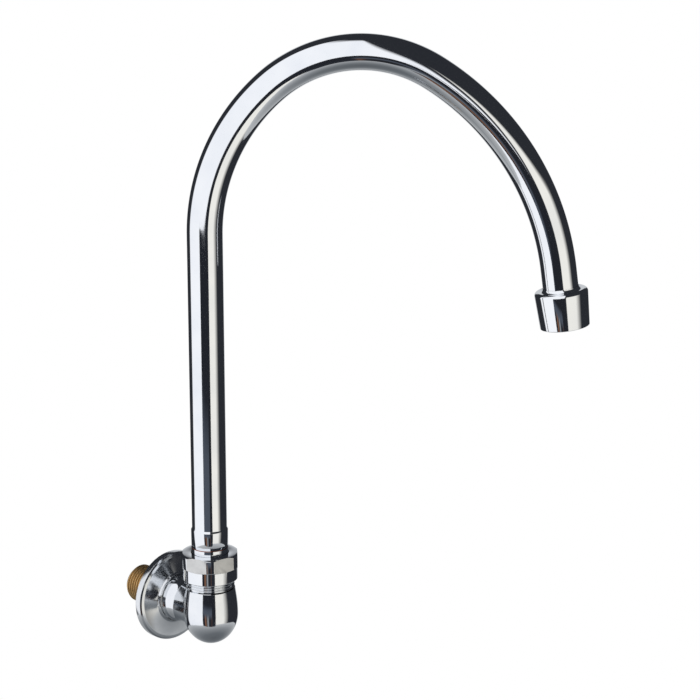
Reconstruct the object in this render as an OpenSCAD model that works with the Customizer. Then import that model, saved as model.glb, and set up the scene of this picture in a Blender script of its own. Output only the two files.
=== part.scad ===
// Wall faucet with a swivel gooseneck spout: a wall elbow with a screwed brass
// inlet and a wall flange, and a bent tube spout held on it by a union nut.
// Millimetres. The origin is where the inlet's axis meets the wall. +Y points
// into the wall, -Y out towards the user and +Z up. The spout is turned to one
// side at rest, and its water way runs up the riser's axis at y = -elbow_reach.

/* [Wall elbow] */
// Distance from the wall to the riser's axis
elbow_reach = 34; // [32:1:50]
// Height of the mouth's rim above the inlet's axis
mouth_height = 25; // [24:1:36]
// Radius of the rounded collar where the neck meets the flange
neck_collar_r = 12.8; // [12.4:0.1:14]
// Radius of the neck at its waist
neck_waist_r = 11.6; // [11.2:0.1:12.4]
// How much the bulb is wider in radius than its shoulder
bulb_swell = 1.5; // [1:0.1:4]
// Depth of the bulb's rounded bottom below its widest ring
bulb_depth = 16.9; // [15:0.1:20]
// Thickness of the bulb's casting
bulb_wall = 3.9; // [2:0.1:5]

/* [Mouth thread] */
// Wall between the mouth's bore and the root of its thread
mouth_wall = 2.05; // [1.6:0.05:3]
// Pitch of the fine thread that the union nut runs on
mouth_pitch = 1.41; // [1:0.01:1.6]
// Depth of the fine thread
mouth_thread_depth = 0.85; // [0.5:0.05:0.95]
// Length of the threaded mouth
mouth_thread_length = 11.9; // [10:0.1:14]

/* [Wall flange] */
// Radius of the wall flange
flange_r = 25; // [23:0.5:35]
// Height of the flange's straight rim
flange_rim = 3.6; // [2.5:0.1:5]
// Height of the flange's front web above the wall
flange_rise = 6.2; // [6:0.1:9]
// Thickness of the flange's metal
flange_wall = 1.2; // [0.8:0.1:1.5]
// Height of the raised lip round the neck
flange_lip = 1.1; // [0.6:0.1:1.6]

/* [Inlet] */
// Crest radius of the half inch pipe thread
inlet_thread_r = 10.4775; // [9:0.0005:11]
// Pitch of the pipe thread
inlet_pitch = 1.814; // [1.2:0.001:2]
// Depth of the pipe thread
inlet_thread_depth = 1.16; // [0.8:0.01:1.3]
// Length of the nipple behind the wall's face
inlet_length = 27; // [20:1:60]
// Radius of the nipple's water way
inlet_bore_r = 7.5; // [6:0.1:7.8]
// Plain shank between the wall's face and the first thread
inlet_shank = 3; // [1:0.5:6]
// Depth to which the nipple is screwed into the elbow
socket_depth = 11; // [8:0.5:12]

/* [Swivel] */
// Radius of the spigot that turns in the mouth
spigot_r = 10.22; // [9.8:0.01:11]
// Radius of the spigot's water way
spigot_bore_r = 7.2; // [6:0.1:7.4]
// Radial running clearance of the spigot in the mouth
running_gap = 0.08; // [0.03:0.01:0.1]
// Length of the spigot below its flange
spigot_length = 15.8; // [15:0.1:16.5]
// Thickness of the spigot's flange
spigot_flange = 3; // [2:0.1:4]
// Thickness of the seat washer on the mouth's rim
washer_height = 1.2; // [0.8:0.1:2]
// Cord diameter of the spigot's two O-rings
seal_cord = 2; // [1.6:0.1:2.2]
// Thickness of the split ring under the nut's shoulder
split_ring = 1; // [0.6:0.1:2]

/* [Union nut] */
// Height of the nut
nut_height = 15; // [14:0.5:18]
// Height of the milled hexagon
nut_hex = 7.5; // [5:0.5:9]
// Thickness of the nut's top above its shoulder
nut_top = 3; // [2:0.1:4]
// Wall of the nut's round skirt outside its thread
nut_wall = 1; // [0.8:0.1:2]
// How far the turned corners stand out past the skirt
nut_corner = 1.1; // [0.8:0.1:1.6]

/* [Spout tube] */
// Outer radius of the spout's tube
tube_r = 9.525; // [9:0.005:10]
// Wall of the tube
tube_wall = 1; // [0.8:0.1:1.4]
// How much the tube is widened where it slips over the spigot
swage_step = 0.475; // [0.3:0.005:0.8]
// Length of the widened end
swage_length = 9.8; // [7:0.1:14]
// Height of the upright leg, from the mouth's rim to the first bend
leg_height = 182.7; // [100:0.1:260]
// Radius and turn of the first bend, at the tube's centre line
bend_a_r = 104; // [70:1:140]
bend_a_turn = 48.6; // [30:0.1:60]
// Radius and turn of the tight bend at the crown
bend_b_r = 70.4; // [50:0.1:110]
bend_b_turn = 73.4; // [50:0.1:80]
// Radius and turn of the easy bend down to the outlet
bend_c_r = 144; // [90:1:180]
bend_c_turn = 50.4; // [30:0.1:60]
// Straight tube between the last bend and the outlet collar
outlet_straight = 11; // [4:0.5:60]
// Angle by which the spout is turned away from straight out at rest
rest_swivel = 45; // [0:1:85]

/* [Outlet] */
// Radius of the outlet collar at its top
collar_top_r = 14.3; // [13.6:0.1:16]
// Radius of the outlet collar at its mouth
collar_mouth_r = 13.2; // [12.9:0.1:14]
// Length of the outlet collar
collar_length = 20; // [18:0.5:26]
// Depth to which the tube is brazed into the collar
collar_socket = 6; // [4:0.5:7]
// Radius of the bore that takes the aerator
aerator_r = 11.6; // [10.5:0.1:12]
// Thickness of the aerator's rubber washer
aerator_washer = 1.5; // [1:0.1:2]
// Wall of the aerator's sleeve
sleeve_wall = 1.3; // [1:0.1:1.6]

/* [Hidden] */
$fn = 96;

// Clearances
seat_gap = 0.05;      // between pieces that are screwed, brazed or pressed together
loose_gap = 0.3;      // round pieces that slide past each other freely
thread_gap = 0.1;     // between the nut's crests and the mouth's crests
bend_thinning = 0.02; // by which each face of the tube's wall draws in along a bend
bite = 0.01;          // overlap that lets a cut run clear through a face

// Radii that follow from the spigot outwards: bore, thread, shoulder and bulb
mouth_bore_r = spigot_r + running_gap;
mouth_lead = 0.9;
mouth_root_r = mouth_bore_r + mouth_wall;
mouth_thread_r = mouth_root_r + mouth_thread_depth;
shoulder_r = mouth_thread_r + 0.2;
bulb_r = shoulder_r + bulb_swell;
bulb_mid_z = -2;
thread_chamfer = 0.6;
thread_end_z = mouth_height - mouth_thread_length;

// Levels of the swivel, from the rim upwards
flange_z = mouth_height + washer_height;
thrust_z = flange_z + spigot_flange;
nut_shoulder_z = thrust_z + split_ring;
nut_top_z = nut_shoulder_z + nut_top;
nut_bottom_z = nut_top_z - nut_height;
spigot_tip_z = flange_z - spigot_length;
band_height = 2.9;
braze_z = nut_top_z + band_height;
braze_height = 0.4;
swage_z = braze_z + braze_height;
swage_top_z = swage_z + swage_length;
swage_cone = 1;
leg_top_z = mouth_height + leg_height;

// Radii of the swivel
swage_r = tube_r + swage_step;
stub_r = swage_r - tube_wall - seat_gap;
spigot_flange_r = mouth_thread_r - 0.5;
ring_outer_r = mouth_thread_r - 0.6;
ring_inner_r = swage_r + loose_gap;
nut_hole_r = swage_r + loose_gap + 0.05;
nut_crest_r = mouth_thread_r + thread_gap;
nut_root_r = nut_crest_r + 0.6;
nut_skirt_r = nut_root_r + nut_wall;
nut_corner_r = nut_skirt_r + nut_corner;
nut_flats = 2 * nut_skirt_r - 0.2;
nut_rest_turn = 19;   // turn of the nut's flats at rest
nut_step = 0.5;       // rise of the cone from the nut's skirt out to its corners

// Grooves for the O-rings, measured up from the spigot's tip
lip_height = 3.6;
groove_height = seal_cord + 1;
groove_pitch = groove_height + 2.6;
seal_outer_r = mouth_bore_r - seat_gap;
groove_floor_r = seal_outer_r - seal_cord - seat_gap;

// Inlet and flange
shank_r = inlet_thread_r - 0.5;
socket_r = shank_r + seat_gap;
flange_hole_r = inlet_thread_r + 0.2;
lip_inner_r = neck_collar_r + 0.2;
lip_outer_r = lip_inner_r + 1;
lip_foot = 0.4;       // fillet between the flange's dish and its lip
flange_bevel = 2.2;   // width of the bright bevel inside the flange's edge
neck_collar_length = 3.4;
neck_waist_length = 6.4;
washer_floor = 1;
socket_end = flange_rise + socket_depth;
passage_r = inlet_bore_r + 0.5;

// Outlet
collar_floor = collar_socket + 1;
insert_end = collar_length - 0.6;
sleeve_r = aerator_r - seat_gap;
sleeve_inner_r = sleeve_r - sleeve_wall;
insert_r = sleeve_inner_r - seat_gap;
insert_top = collar_floor + aerator_washer;
disc_height = 2;
screen_height = 0.5;
screen_pitch = 1.6;
diffuser_height = 3.6;

// ---- Frames ---------------------------------------------------------------

// Local +Z runs along the inlet into the wall.
module on_inlet() {
    rotate([-90, 0, 0]) children();
}

// Local +Z runs out of the wall along the inlet's axis.
module out_of_wall() {
    rotate([90, 0, 0]) children();
}

module on_riser() {
    translate([0, -elbow_reach, 0]) children();
}

// The spout's own plane: local +X runs along the spout's reach.
module on_spout() {
    on_riser() rotate([0, 0, rest_swivel - 90]) children();
}

// Carries its children to the end of a bend that starts up +Z towards +X.
module after_bend(radius, turn) {
    translate([radius, 0, 0]) rotate([0, turn, 0]) translate([-radius, 0, 0]) children();
}

// The frame of the outlet collar: +Z runs down the stream, 0 is its top.
module on_outlet() {
    on_spout()
        translate([0, 0, leg_top_z])
            after_bend(bend_a_r, bend_a_turn)
                after_bend(bend_b_r, bend_b_turn)
                    after_bend(bend_c_r, bend_c_turn)
                        translate([0, 0, outlet_straight]) children();
}

// ---- Shapes that repeat ---------------------------------------------------

// Outline points of a screw thread's ridges between two heights, root first.
function thread_points(root_r, crest_r, pitch, start, end) =
    let (count = floor((end - start) / pitch))
    [for (i = [0 : count - 1], p = [[0, root_r], [0.42, crest_r], [0.58, crest_r], [1, root_r]])
        [p[1], start + (i + p[0]) * pitch]];

// Height at which the last whole ridge of such a thread ends.
function thread_end(pitch, start, end) = start + floor((end - start) / pitch) * pitch;

// A ring of rectangular section.
module ring(inner_r, outer_r, height) {
    rotate_extrude() translate([inner_r, 0]) square([outer_r - inner_r, height]);
}

// A ring of round section that lies in the XY plane.
module cord_ring(inner_r, outer_r) {
    cord_r = (outer_r - inner_r) / 2;
    rotate_extrude() translate([inner_r + cord_r, 0]) circle(r = cord_r, $fn = 48);
}

// The tube's cross-section, its wall drawn thinner by an amount on each face.
module tube_section(thinning = 0) {
    difference() {
        circle(r = tube_r - thinning);
        circle(r = tube_r - tube_wall + thinning);
    }
}

// A bend of the tube, run on a little at both ends into its neighbours' walls.
module tube_bend(radius, turn, thinning) {
    overrun = 0.3 * 180 / (PI * radius);
    translate([radius, 0, 0])
        rotate([90, 0, 0])
            rotate([0, 0, 180 - turn - overrun])
                rotate_extrude(angle = turn + 2 * overrun)
                    translate([radius, 0]) tube_section(thinning);
}

// Centres of round holes on rings about the middle, six more on each ring.
function hole_centres(rings, step) =
    concat([[0, 0]], [for (n = [1 : rings], i = [0 : 6 * n - 1])
        step * n * [cos(60 * i / n), sin(60 * i / n)]]);

// A disc pierced by rings of holes with the given number of sides.
module pierced_disc(radius, height, rings, hole_r, sides) {
    step = (radius - 1.2) / (rings + 0.5);
    difference() {
        cylinder(r = radius, h = height);
        for (centre = hole_centres(rings, step))
            translate([centre[0], centre[1], -1]) cylinder(r = hole_r, h = height + 2, $fn = sides);
    }
}

// ---- Wall elbow -----------------------------------------------------------

// Upright half of the casting: threaded mouth, swelling bulb, round bottom.
module bulb_outline() {
    swell_steps = 8;
    bottom_steps = 18;
    swell_height = thread_end_z - bulb_mid_z;
    ridge_start = thread_end_z + 0.3;
    ridge_end = thread_end(mouth_pitch, ridge_start, mouth_height - thread_chamfer);
    polygon(concat(
        [for (i = [0 : bottom_steps]) let (a = 90 - 90 * i / bottom_steps)
            [bulb_r * cos(a), bulb_mid_z - bulb_depth * sin(a)]],
        [for (i = [1 : swell_steps]) let (t = 1 - i / swell_steps)
            [shoulder_r + bulb_swell * sin(90 * t), thread_end_z - t * swell_height]],
        [[mouth_root_r, thread_end_z]],
        thread_points(mouth_root_r, mouth_thread_r, mouth_pitch, ridge_start,
                      mouth_height - thread_chamfer),
        [[mouth_root_r, ridge_end + bite], [mouth_root_r, mouth_height - 0.2],
         [mouth_root_r - 0.2, mouth_height], [0, mouth_height]]));
}

// Level part of the casting: rounded collar, waist and flare into the bulb.
module neck_outline() {
    collar_at = flange_rise + neck_collar_length;
    waist_at = collar_at + neck_waist_length;
    end_at = elbow_reach - bulb_r * 0.44;
    end_r = sqrt(pow(bulb_r - 0.4, 2) - pow(bulb_r * 0.44, 2));
    collar_drop = 0.7;
    steps = 8;
    polygon(concat(
        [[0, flange_rise]],
        [for (i = [0 : steps]) let (a = 90 * i / steps)
            [neck_collar_r - collar_drop * (1 - sin(a)), collar_at - (collar_at - flange_rise) * cos(a)]],
        [for (i = [1 : steps]) let (t = i / steps)
            [neck_waist_r + (neck_collar_r - neck_waist_r) * (1 + cos(180 * t)) / 2,
             collar_at + t * (waist_at - collar_at)]],
        [for (i = [1 : steps]) let (t = i / steps)
            [neck_waist_r + (end_r - neck_waist_r) * t * t, waist_at + t * (end_at - waist_at)]],
        [[0, end_at]]));
}

// Water way of the riser: lead-in, running bore for the spigot, wide chamber.
module riser_bore() {
    chamber_r = bulb_r - bulb_wall;
    chamber_top = spigot_tip_z - 1.5;
    chamber_depth = bulb_depth - bulb_wall - 1;
    steps = 8;
    rotate_extrude() polygon(concat(
        [for (i = [0 : steps]) let (a = 90 - 90 * i / steps)
            [chamber_r * cos(a), bulb_mid_z - chamber_depth * sin(a)]],
        [[chamber_r, chamber_top - 1.5], [mouth_bore_r, chamber_top],
         [mouth_bore_r, mouth_height - mouth_lead],
         [mouth_bore_r + mouth_lead, mouth_height],
         [mouth_bore_r + mouth_lead, mouth_height + 1], [0, mouth_height + 1]]));
}

module elbow_body() {
    color("silver") difference() {
        union() {
            on_riser() rotate_extrude() bulb_outline();
            out_of_wall() rotate_extrude() neck_outline();
        }
        on_riser() riser_bore();
        out_of_wall() translate([0, 0, flange_rise - 1])
            cylinder(r = socket_r, h = socket_depth + washer_floor + 1);
        out_of_wall() cylinder(r = passage_r, h = elbow_reach);
    }
}

// Spun cover plate: straight rim, bright bevel, shallow dish and a raised lip.
module wall_flange() {
    bevel_r = flange_r - flange_bevel;
    bevel_rise = flange_bevel / 2;
    dish_end_r = lip_outer_r + lip_foot;
    dish_steps = 6;
    dish_start = flange_rim + bevel_rise;
    under = flange_wall;
    color("silver") out_of_wall() rotate_extrude() polygon(concat(
        [[flange_r, 0], [flange_r, flange_rim], [flange_r - 0.9, flange_rim + 0.65]],
        [for (i = [0 : dish_steps]) let (t = i / dish_steps)
            [bevel_r + (dish_end_r - bevel_r) * t,
             dish_start + (flange_rise - dish_start) * (0.6 * t + 0.4 * t * t)]],
        [[lip_outer_r, flange_rise + 0.6 * flange_lip], [lip_outer_r - 0.3, flange_rise + flange_lip],
         [lip_inner_r, flange_rise + flange_lip], [lip_inner_r, flange_rise],
         [flange_hole_r, flange_rise], [flange_hole_r, flange_rise - under],
         [dish_end_r, flange_rise - under], [bevel_r, dish_start - under],
         [flange_r - under, flange_rim - 0.6 * under], [flange_r - under, 0]]));
}

// Foam ring in the flange's back, level with the rim, that seals on the wall.
module flange_gasket() {
    color("dimgray") out_of_wall()
        ring(flange_r - flange_wall - 3.8, flange_r - flange_wall - seat_gap,
             flange_rim - flange_wall - 0.3);
}

// Rubber ring behind the flange's web that grips the nipple's shank.
module flange_grip_ring() {
    grip_top = flange_rise - flange_wall;
    grip_height = 2.2;
    color("dimgray") out_of_wall() translate([0, 0, grip_top - grip_height])
        ring(shank_r + seat_gap, shank_r + 2.2, grip_height);
}

// Raw brass nipple: pipe thread behind the wall, plain shank in the elbow.
module inlet_nipple() {
    lead = 0.8;
    ridge_end = inlet_length - lead;
    root_r = inlet_thread_r - inlet_thread_depth;
    last_z = thread_end(inlet_pitch, inlet_shank, ridge_end);
    color("darkgoldenrod") on_inlet() rotate_extrude() polygon(concat(
        [[inlet_bore_r, -socket_end], [shank_r - 0.4, -socket_end], [shank_r, 0.4 - socket_end],
         [shank_r, 0], [inlet_thread_r, 0], [inlet_thread_r, inlet_shank - 0.3]],
        thread_points(root_r, inlet_thread_r, inlet_pitch, inlet_shank, ridge_end),
        [[root_r, last_z + bite], [root_r, inlet_length - 0.3], [root_r - 0.3, inlet_length],
         [inlet_bore_r, inlet_length]]));
}

// Fibre washer that the nipple is tightened on at the bottom of its socket.
module nipple_washer() {
    color("sienna") out_of_wall() translate([0, 0, socket_end])
        ring(passage_r, socket_r - seat_gap, washer_floor);
}

// ---- Swivel ---------------------------------------------------------------

// Slippery washer between the mouth's rim and the spigot's flange.
module seat_washer() {
    color("ivory") on_riser() translate([0, 0, mouth_height])
        ring(spigot_r + loose_gap, mouth_root_r + 0.1, washer_height);
}

// Turned spigot: sealing land with two grooves, flange, band and brazing stub.
module spigot() {
    stub_top = swage_top_z - 1;
    lower_groove = spigot_tip_z + lip_height;
    upper_groove = lower_groove + groove_pitch;
    tip = 0.5;
    color("silver") on_riser() rotate_extrude() polygon([
        [spigot_bore_r, spigot_tip_z], [spigot_r - tip, spigot_tip_z], [spigot_r, spigot_tip_z + tip],
        [spigot_r, lower_groove], [groove_floor_r, lower_groove],
        [groove_floor_r, lower_groove + groove_height], [spigot_r, lower_groove + groove_height],
        [spigot_r, upper_groove], [groove_floor_r, upper_groove],
        [groove_floor_r, upper_groove + groove_height], [spigot_r, upper_groove + groove_height],
        [spigot_r, flange_z], [spigot_flange_r, flange_z], [spigot_flange_r, thrust_z],
        [swage_r, thrust_z], [swage_r, braze_z], [stub_r, braze_z], [stub_r, stub_top],
        [spigot_bore_r, stub_top]]);
}

// The O-rings are drawn as they lie squeezed in the mouth's bore.
module seal_ring(groove_z) {
    color("black") on_riser() translate([0, 0, groove_z + groove_height / 2])
        cord_ring(groove_floor_r + seat_gap, seal_outer_r);
}

module lower_o_ring() {
    seal_ring(spigot_tip_z + lip_height);
}

module upper_o_ring() {
    seal_ring(spigot_tip_z + lip_height + groove_pitch);
}

// Copper line of braze between the spigot's band and the tube's widened end.
module braze_ring() {
    bulge = 0.08;
    color("peru") on_riser() translate([0, 0, braze_z]) rotate_extrude() polygon([
        [stub_r + seat_gap, 0], [swage_r, 0], [swage_r + bulge, braze_height / 3],
        [swage_r + bulge, braze_height * 2 / 3], [swage_r, braze_height],
        [stub_r + seat_gap, braze_height]]);
}

// Split ring on which the nut's shoulder turns.
module split_thrust_ring() {
    slit = 1.6;
    color("ivory") on_riser() translate([0, 0, thrust_z]) difference() {
        ring(ring_inner_r, ring_outer_r, split_ring);
        translate([0, -slit / 2, -1]) cube([ring_outer_r + 1, slit, split_ring + 2]);
    }
}

// Round nut with six milled flats above a smooth threaded skirt.
module union_nut() {
    chamfer = 0.8;
    lead = 0.7;
    thread_from = nut_bottom_z + lead;
    thread_to = nut_shoulder_z - 1.2;
    last_z = thread_end(mouth_pitch, thread_from, thread_to);
    hex_z = nut_top_z - nut_hex;
    mill_z = hex_z - 1.4 * nut_step;
    color("silver") on_riser() difference() {
        rotate_extrude() polygon(concat(
            [[nut_root_r, nut_bottom_z], [nut_skirt_r - nut_step, nut_bottom_z],
             [nut_skirt_r, nut_bottom_z + nut_step], [nut_skirt_r, hex_z - nut_step],
             [nut_corner_r, hex_z], [nut_corner_r, nut_top_z - chamfer],
             [nut_corner_r - 1.3 * chamfer, nut_top_z], [nut_hole_r, nut_top_z],
             [nut_hole_r, nut_shoulder_z], [nut_crest_r, nut_shoulder_z]],
            [for (p = thread_points(nut_crest_r, nut_root_r, mouth_pitch, -last_z, -thread_from))
                [p[0], -p[1]]]));
        for (i = [0 : 5])
            rotate([0, 0, 60 * i + nut_rest_turn])
                translate([nut_flats / 2, -nut_corner_r, mill_z])
                    cube([nut_corner_r, 2 * nut_corner_r, 2 * nut_hex]);
    }
}

// ---- Spout ----------------------------------------------------------------

// Bent tube: widened end, upright leg, three bends and a short straight end.
module spout_tube() {
    inner_r = tube_r - tube_wall;
    color("silver") on_spout() {
        rotate_extrude() polygon([
            [swage_r - tube_wall, swage_z], [swage_r, swage_z], [swage_r, swage_top_z],
            [tube_r, swage_top_z + swage_cone], [tube_r, leg_top_z], [inner_r, leg_top_z],
            [inner_r, swage_top_z + swage_cone], [swage_r - tube_wall, swage_top_z]]);
        translate([0, 0, leg_top_z]) {
            tube_bend(bend_a_r, bend_a_turn, bend_thinning);
            after_bend(bend_a_r, bend_a_turn) {
                tube_bend(bend_b_r, bend_b_turn, 2 * bend_thinning);
                after_bend(bend_b_r, bend_b_turn) {
                    tube_bend(bend_c_r, bend_c_turn, bend_thinning);
                    after_bend(bend_c_r, bend_c_turn)
                        linear_extrude(height = outlet_straight + collar_socket) tube_section();
                }
            }
        }
    }
}

// Turned collar brazed on the tube's end, tapering towards its mouth.
module outlet_collar() {
    flare = 1.5;
    flare_steps = 5;
    rim = 1.3;
    rim_steps = 6;
    valley = 0.3;
    bore_r = tube_r + seat_gap;
    color("silver") on_outlet() rotate_extrude() polygon(concat(
        [[bore_r, collar_socket], [bore_r, -flare]],
        [for (i = [1 : flare_steps]) let (a = 90 * i / flare_steps)
            [bore_r + 0.1 + flare * (1 - cos(a)), valley - (flare + valley) * (1 - sin(a))]],
        [for (i = [0 : rim_steps]) let (a = 90 - 90 * i / rim_steps)
            [collar_top_r - rim + rim * cos(a), rim - rim * sin(a)]],
        [[collar_mouth_r, collar_length - 0.5], [collar_mouth_r - 0.4, collar_length],
         [aerator_r, collar_length], [aerator_r, collar_floor], [tube_r - tube_wall, collar_floor],
         [tube_r - tube_wall, collar_socket]]));
}

module aerator_gasket() {
    color("dimgray") on_outlet() translate([0, 0, collar_floor])
        ring(tube_r - tube_wall + 0.1, aerator_r - 2 * seat_gap, aerator_washer);
}

// Screwed sleeve that holds the aerator's discs, with two notches for its key.
module aerator_sleeve() {
    notch = 2.4;
    ledge = 0.8;
    length = insert_end - insert_top;
    color("dimgray") on_outlet() translate([0, 0, insert_top]) difference() {
        rotate_extrude() polygon([
            [sleeve_inner_r, 0], [sleeve_r - 0.3, 0], [sleeve_r, 0.3], [sleeve_r, length],
            [sleeve_inner_r - ledge, length], [sleeve_inner_r - ledge, length - ledge],
            [sleeve_inner_r, length - ledge]]);
        translate([-sleeve_r - 1, -notch / 2, length - 1.6])
            cube([2 * sleeve_r + 2, notch, 3]);
    }
}

// Plastic disc whose small jets break the stream up.
module flow_disc() {
    color("white") on_outlet() translate([0, 0, insert_top])
        pierced_disc(insert_r, disc_height, 2, 0.7, 16);
}

module screen(level) {
    color("silver") on_outlet() translate([0, 0, level])
        pierced_disc(insert_r, screen_height, 3, 1, 6);
}

module upper_screen() {
    screen(insert_top + disc_height + seat_gap);
}

module lower_screen() {
    screen(insert_top + disc_height + seat_gap + screen_pitch);
}

// Honeycomb that straightens the stream, resting on the sleeve's ledge.
module stream_diffuser() {
    ledge = 0.8;
    color("white") on_outlet() translate([0, 0, insert_end - ledge - diffuser_height])
        pierced_disc(insert_r, diffuser_height, 3, 1.1, 6);
}

// ---- Nodes ----------------------------------------------------------------

elbow_body();
wall_flange();
flange_gasket();
flange_grip_ring();
inlet_nipple();
nipple_washer();
seat_washer();
spigot();
lower_o_ring();
upper_o_ring();
braze_ring();
spout_tube();
outlet_collar();
aerator_gasket();
aerator_sleeve();
flow_disc();
upper_screen();
lower_screen();
stream_diffuser();
split_thrust_ring();
union_nut();
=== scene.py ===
"""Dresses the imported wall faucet.

Every piece that shows is made again as what it is: a cast and polished bulb
elbow, a spun wall flange, threads that really wind, a milled union nut, a bent
tube and turned ends. The nodes that stay from the CAD get their real finishes.
Lengths in the faucet's classes are millimetres, and each piece is put into the
frame of the CAD, in metres, when it is settled. The studio's are metres.
"""

import logging
import math
from collections.abc import Callable, Sequence
from dataclasses import dataclass
from enum import Enum
from typing import Any

import bpy
from mathutils import Matrix, Vector


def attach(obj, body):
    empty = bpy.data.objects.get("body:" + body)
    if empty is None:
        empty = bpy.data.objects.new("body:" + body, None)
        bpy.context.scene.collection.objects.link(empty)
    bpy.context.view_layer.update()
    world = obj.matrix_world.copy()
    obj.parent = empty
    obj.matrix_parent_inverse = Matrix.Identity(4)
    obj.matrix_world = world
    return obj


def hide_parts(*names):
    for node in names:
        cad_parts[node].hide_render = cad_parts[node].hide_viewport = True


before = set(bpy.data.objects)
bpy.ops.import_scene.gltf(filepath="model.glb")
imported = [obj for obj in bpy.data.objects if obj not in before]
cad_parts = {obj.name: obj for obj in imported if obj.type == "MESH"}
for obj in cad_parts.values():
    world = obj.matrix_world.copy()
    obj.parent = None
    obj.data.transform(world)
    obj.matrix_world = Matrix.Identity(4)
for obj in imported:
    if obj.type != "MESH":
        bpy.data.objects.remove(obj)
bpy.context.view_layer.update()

log = logging.getLogger("wall_faucet")

MM = 0.001
REACH = 34.0          # mm from the wall to the riser's axis
REST_SWIVEL = 45.0    # degrees by which the spout is turned at rest
AROUND = 160          # steps in one full turn of a turned piece
THREAD_STEPS = 96     # steps in one turn of a thread
WELD = 5e-4           # mm within which two points are merged
SAME = 1e-3           # mm within which a point counts as on a level

Point = tuple[float, float]
Four = tuple[float, float, float, float]
Piece = bpy.types.Object
Tree = bpy.types.NodeTree
Socket = bpy.types.NodeSocket


def shift(x: float, y: float, z: float) -> Matrix:
    """Returns the move by that many millimetres."""
    return Matrix.Translation((x, y, z))


ON_RISER = shift(0, -REACH, 0)
ON_INLET = Matrix.Rotation(math.radians(-90), 4, "X")
OUT_OF_WALL = Matrix.Rotation(math.radians(90), 4, "X")
ON_SPOUT = ON_RISER @ Matrix.Rotation(math.radians(-REST_SWIVEL), 4, "Z")
TO_METRES = Matrix.Scale(MM, 4)


# ---- Workshop: the few moves that every piece is made with --------------------


class Slot(Enum):
    """The record's material slots for the pieces made here, by name; nothing here uses them."""

    CHROME = "chrome"
    BRASS = "raw_brass"
    BRAZE = "copper_braze"
    RUBBER = "black_rubber"
    FOAM = "grey_foam"
    NYLON = "ivory_nylon"


def put_down() -> None:
    """Leaves edit mode with nothing selected."""
    if bpy.context.mode != "OBJECT":
        bpy.ops.object.mode_set(mode="OBJECT")
    bpy.ops.object.select_all(action="DESELECT")


def take_up(piece: Piece) -> None:
    """Makes a piece the only one selected, and the active one.

    Args:
        piece: The piece to take up.
    """
    put_down()
    piece.select_set(True)
    bpy.context.view_layer.objects.active = piece


def pick(piece: Piece, test: Callable[[Vector], bool]) -> None:
    """Opens a piece in edit mode with only some of its points selected.

    Args:
        piece: The piece to open.
        test: Says of a point's place, in millimetres, whether it is picked.
    """
    take_up(piece)
    mesh = piece.data
    for part in (mesh.edges, mesh.polygons):
        part.foreach_set("select", [False] * len(part))
    mesh.vertices.foreach_set("select", [test(v.co) for v in mesh.vertices])
    bpy.context.tool_settings.mesh_select_mode = (True, False, False)
    bpy.ops.object.mode_set(mode="EDIT")


def apply_modifier(piece: Piece, kind: str, **settings: Any) -> None:
    """Adds a modifier to a piece and applies it.

    Args:
        piece: The piece to change.
        kind: Blender's name for the modifier.
        **settings: The modifier's properties.
    """
    take_up(piece)
    modifier = piece.modifiers.new(kind.title(), kind)
    for key, value in settings.items():
        setattr(modifier, key, value)
    bpy.ops.object.modifier_apply(modifier=modifier.name)


def combine(piece: Piece, tool: Piece, operation: str) -> None:
    """Adds a tool's solid to a piece, or takes it away, and uses the tool up.

    Args:
        piece: The piece to change.
        tool: The other solid.
        operation: UNION or DIFFERENCE.
    """
    apply_modifier(piece, "BOOLEAN", object=tool, operation=operation, solver="EXACT")
    bpy.data.objects.remove(tool)


def join(pieces: Sequence[Piece]) -> Piece:
    """Joins shells into the first of them.

    Args:
        pieces: The shells.

    Returns:
        The first, which now holds them all.
    """
    take_up(pieces[0])
    for piece in pieces:
        piece.select_set(True)
    bpy.ops.object.join()
    return pieces[0]


def start_point(name: str, at: Vector) -> Piece:
    """Starts a piece as one selected point, in edit mode.

    Args:
        name: The piece's name.
        at: Where the point lies.

    Returns:
        The new piece.
    """
    put_down()
    bpy.ops.mesh.primitive_plane_add(size=1)
    piece = bpy.context.active_object
    piece.name = piece.data.name = name
    bpy.ops.object.mode_set(mode="EDIT")
    bpy.ops.mesh.select_all(action="SELECT")
    bpy.ops.mesh.merge(type="CENTER")
    bpy.ops.transform.translate(value=at)
    return piece


def draw_line(points: Sequence[Point]) -> None:
    """Extrudes the selected point through an outline.

    Args:
        points: Radius and height of each point, the selected one first.
    """
    for (r0, z0), (r1, z1) in zip(points, points[1:]):
        bpy.ops.mesh.extrude_vertices_move(
            TRANSFORM_OT_translate={"value": (r1 - r0, 0, z1 - z0)}
        )


def extrude(step: Sequence[float], scale: float = 1, about: Sequence[float] = (0, 0, 0)) -> None:
    """Extrudes what is selected.

    Args:
        step: How far, and which way.
        scale: By how much the new end is scaled, seen from above.
        about: The point that it is scaled about.
    """
    bpy.ops.mesh.extrude_region_move(TRANSFORM_OT_translate={"value": step})
    if scale != 1:
        bpy.ops.transform.resize(value=(scale, scale, 1), center_override=about)


def close_shell() -> None:
    """Merges doubled points, turns the faces outwards and leaves edit mode."""
    bpy.ops.mesh.select_all(action="SELECT")
    bpy.ops.mesh.remove_doubles(threshold=WELD)
    bpy.ops.mesh.normals_make_consistent(inside=False)
    bpy.ops.object.mode_set(mode="OBJECT")


def shares(count: int, first: int = 0) -> list[float]:
    """Returns the shares of a way in equal steps, from the first step to the whole."""
    return [i / count for i in range(first, count + 1)]


def quarter(count: int) -> list[float]:
    """Returns the angles of a quarter turn in equal steps, in radians."""
    return [math.radians(90 * i / count) for i in range(count + 1)]


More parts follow.
